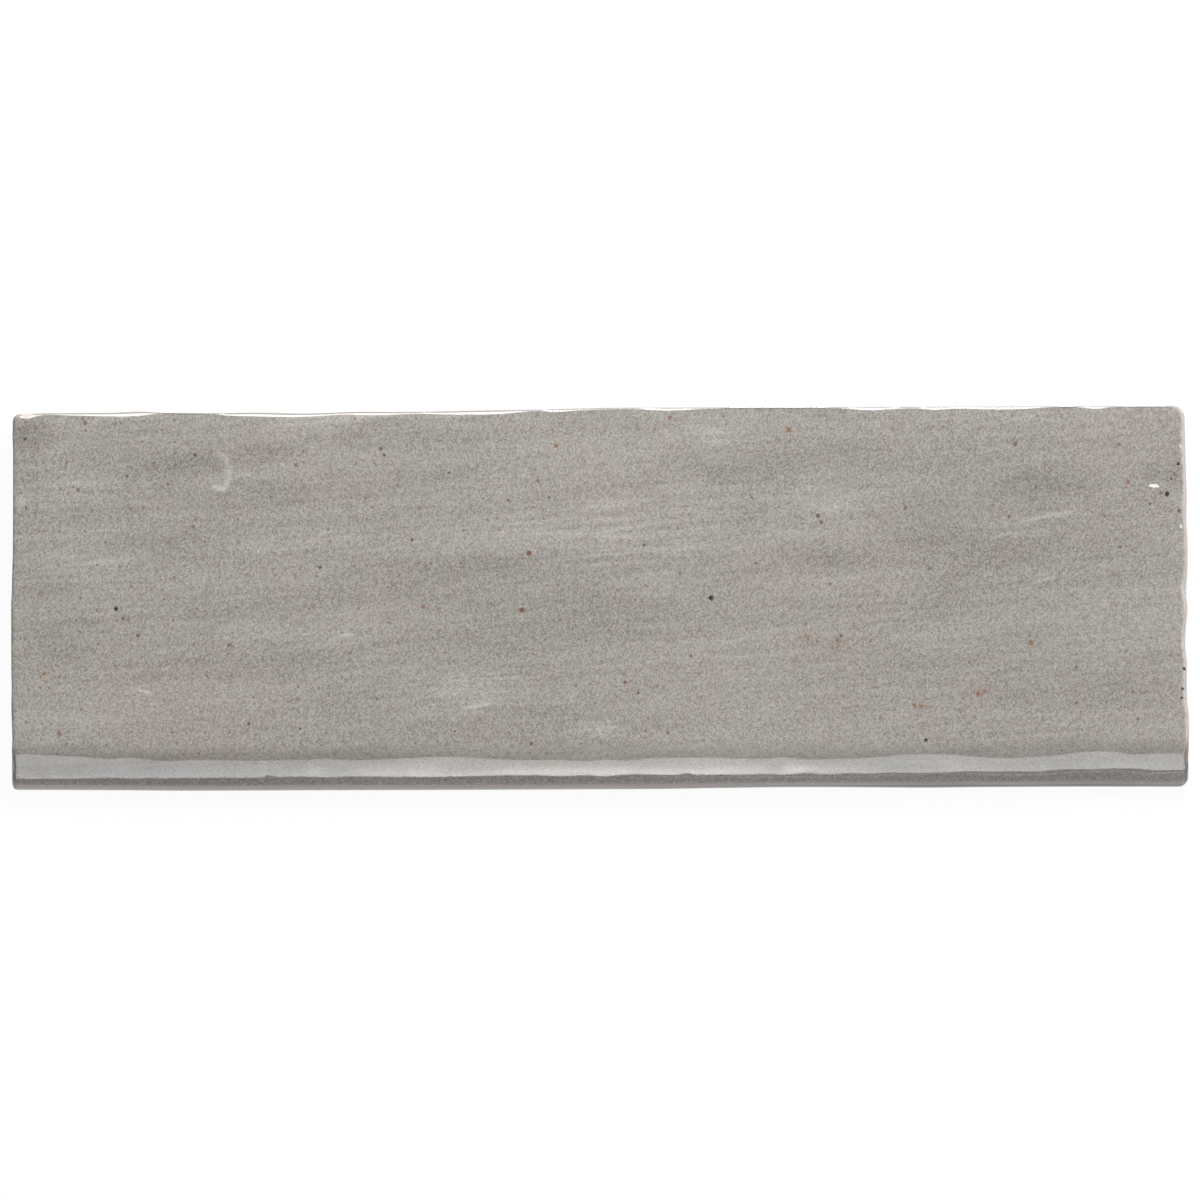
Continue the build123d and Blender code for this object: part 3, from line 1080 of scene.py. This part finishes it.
def makeFloor():
    bm = bmesh.new()
    bmesh.ops.create_grid(bm, x_segments=1, y_segments=1, size=studio["floorSize"] / 2)
    bmesh.ops.translate(bm, verts=bm.verts[:], vec=(0, 0, -studio["floorGap"]))
    floor = newObject("floor", bm)
    # white to the eye and in reflections, with some of its real shading left in
    material, tree = newMaterial("floorPaint")
    seen = seenDirectly(tree, studio["mirroredGlowShare"] / studio["floorGlowShare"])
    share = addNode(tree, "Math", {0: seen, 1: studio["floorGlowShare"]}, operation="MULTIPLY")
    plain = addNode(tree, "BsdfDiffuse", {"Color": linear(studio["floorColour"])})
    # a brighter patch in front of the right half shows in the nose as a thin line
    onObject = addNode(tree, "TexCoord").outputs["Object"]
    x, y, z = addNode(tree, "SeparateXYZ", {0: onObject}).outputs[:]
    aside = addNode(tree, "Math", {0: y, 1: studio["patchY"]}, operation="SUBTRACT")
    aside = addNode(tree, "Math", {0: aside}, operation="ABSOLUTE")
    patch = addNode(tree, "MapRange", {"Value": aside, "From Min": studio["patchReach"],
                                       "From Max": studio["patchReach"] / 2, "To Max": studio["patchGlow"]})
    toRight = addNode(tree, "MapRange", {"Value": x, "From Max": studio["patchFade"]})
    strength = addNode(tree, "Math", {0: patch, 1: toRight, 2: studio["floorGlow"]}, operation="MULTIPLY_ADD")
    glow = addNode(tree, "Emission", {"Strength": strength})
    mixed = addNode(tree, "MixShader", {0: share, 1: plain, 2: glow})
    addNode(tree, "OutputMaterial", {"Surface": mixed})
    floor.data.materials.append(material)


def makeWorld():
    world = bpy.data.worlds.new("studio")
    bpy.context.scene.world = world
    world.use_nodes = True
    tree = world.node_tree
    tree.nodes.clear()
    strength = addNode(tree, "MapRange", {"Value": seenDirectly(tree), "To Min": studio["worldLight"]})
    glow = addNode(tree, "Background", {"Color": linear("#ffffff"), "Strength": strength})
    addNode(tree, "OutputWorld", {"Surface": glow})


def makeKey():
    lamp = bpy.data.lights.new("key", "AREA")
    lamp.size = studio["keySize"]
    lamp.energy = studio["keyPower"]
    key = bpy.data.objects.new("key", lamp)
    key.location = studio["keyPlace"]
    key.rotation_euler = (-Vector(studio["keyPlace"])).to_track_quat("-Z", "Y").to_euler()
    bpy.context.scene.collection.objects.link(key)


def makeFrontCard():
    high = -studio["cardY"] / math.tan(math.radians(studio["cardTop"]))
    bm = bmesh.new()
    upright = Matrix.Rotation(math.radians(-90), 4, "X")
    bmesh.ops.create_grid(bm, x_segments=1, y_segments=1, size=1.0, matrix=upright)
    bmesh.ops.scale(bm, verts=bm.verts[:], vec=(studio["cardHalfWidth"], 1.0, high / 2))
    bmesh.ops.translate(bm, verts=bm.verts[:], vec=(0, studio["cardY"], high / 2 + mm))
    card = newObject("frontCard", bm)
    material, tree = newMaterial("cardGlow")
    onObject = addNode(tree, "TexCoord").outputs["Object"]
    x, y, z = addNode(tree, "SeparateXYZ", {0: onObject}).outputs[:]
    aside = addNode(tree, "Math", {0: x, 1: studio["middleX"]}, operation="SUBTRACT")
    aside = addNode(tree, "Math", {0: aside}, operation="ABSOLUTE")
    middle = addNode(tree, "MapRange", {"Value": aside, "From Min": studio["middleReach"], "From Max": 0.0},
                     interpolation_type="SMOOTHSTEP")
    low = addNode(tree, "MapRange", {"Value": z, "From Min": high, "From Max": 0.0})
    low = addNode(tree, "Math", {0: low, 1: studio["lowPower"]}, operation="POWER")
    hot = addNode(tree, "Math", {0: low, 1: studio["hotPower"]}, operation="POWER")
    # the hot patch lies a little above the card's foot
    lifted = addNode(tree, "MapRange", {"Value": z, "From Max": studio["hotLift"],
                                        "To Min": studio["hotFoot"]})
    hot = addNode(tree, "Math", {0: hot, 1: lifted}, operation="MULTIPLY")
    hot = addNode(tree, "Math", {0: hot, 1: studio["cardHotGlow"], 2: studio["cardMiddleGlow"]},
                  operation="MULTIPLY_ADD")
    strength = addNode(tree, "Math", {0: low, 1: studio["cardLowGlow"], 2: studio["cardGlow"]},
                       operation="MULTIPLY_ADD")
    strength = addNode(tree, "Math", {0: hot, 1: middle, 2: strength}, operation="MULTIPLY_ADD")
    over = addNode(tree, "Math", {0: z, 1: studio["cardFoot"]}, operation="GREATER_THAN")
    strength = addNode(tree, "Math", {0: strength, 1: over}, operation="MULTIPLY")
    # dimmer at its ends, where it is cool, and warm in the middle
    ends = addNode(tree, "MapRange", {"Value": aside, "From Min": studio["endsFrom"],
                                      "From Max": studio["endsTo"], "To Min": 1.0,
                                      "To Max": studio["endsGlow"]})
    strength = addNode(tree, "Math", {0: strength, 1: ends}, operation="MULTIPLY")
    tint = addNode(tree, "Mix", {"Factor": middle, "A": linear(studio["cardCool"]),
                                 "B": linear(studio["cardWarm"])}, data_type="RGBA")
    glow = addNode(tree, "Emission", {"Color": tint, "Strength": strength})
    addNode(tree, "OutputMaterial", {"Surface": glow})
    card.data.materials.append(material)
    onlyMirrored(card)


def onlyMirrored(card):
    # seen in the glaze and nowhere else
    for ray in ("camera", "diffuse", "transmission", "volume_scatter", "shadow"):
        setattr(card, "visible_" + ray, False)


def makeFlag():
    # a dark flag overhead keeps the face free of glare, so that its colours show
    front, back = studio["flagFront"], studio["flagBack"]
    bm = bmesh.new()
    bmesh.ops.create_grid(bm, x_segments=1, y_segments=1, size=1.0)
    bmesh.ops.scale(bm, verts=bm.verts[:], vec=(studio["flagHalfWidth"], (back - front) / 2, 1.0))
    bmesh.ops.translate(bm, verts=bm.verts[:], vec=(0, (front + back) / 2, studio["flagHeight"]))
    flag = newObject("overheadFlag", bm)
    material, tree = newMaterial("blackCloth")
    shade = addNode(tree, "Emission", {"Color": linear(studio["flagShade"])})
    addNode(tree, "OutputMaterial", {"Surface": shade})
    flag.data.materials.append(material)
    onlyMirrored(flag)


def makeCamera():
    data = bpy.data.cameras.new("camera")
    data.sensor_width = studio["sensorWidth"]
    distance = studio["cameraHeight"] - tileHigh.z
    data.lens = data.sensor_width * distance / (photo["size"] * photo["mmPerPixel"] * mm)
    data.clip_end = studio["clipEnd"]
    camera = bpy.data.objects.new("camera", data)
    bpy.context.scene.collection.objects.link(camera)
    x, y = onTile(photo["size"] / 2, photo["size"] / 2)
    camera.location = (x * mm, y * mm, studio["cameraHeight"])
    camera.rotation_euler = (0, 0, -photo["turn"])
    bpy.context.scene.camera = camera


makeFloor()
makeWorld()
makeKey()
makeFrontCard()
makeFlag()
makeCamera()
bpy.context.scene.view_settings.view_transform = "Standard"
print("studio ready")
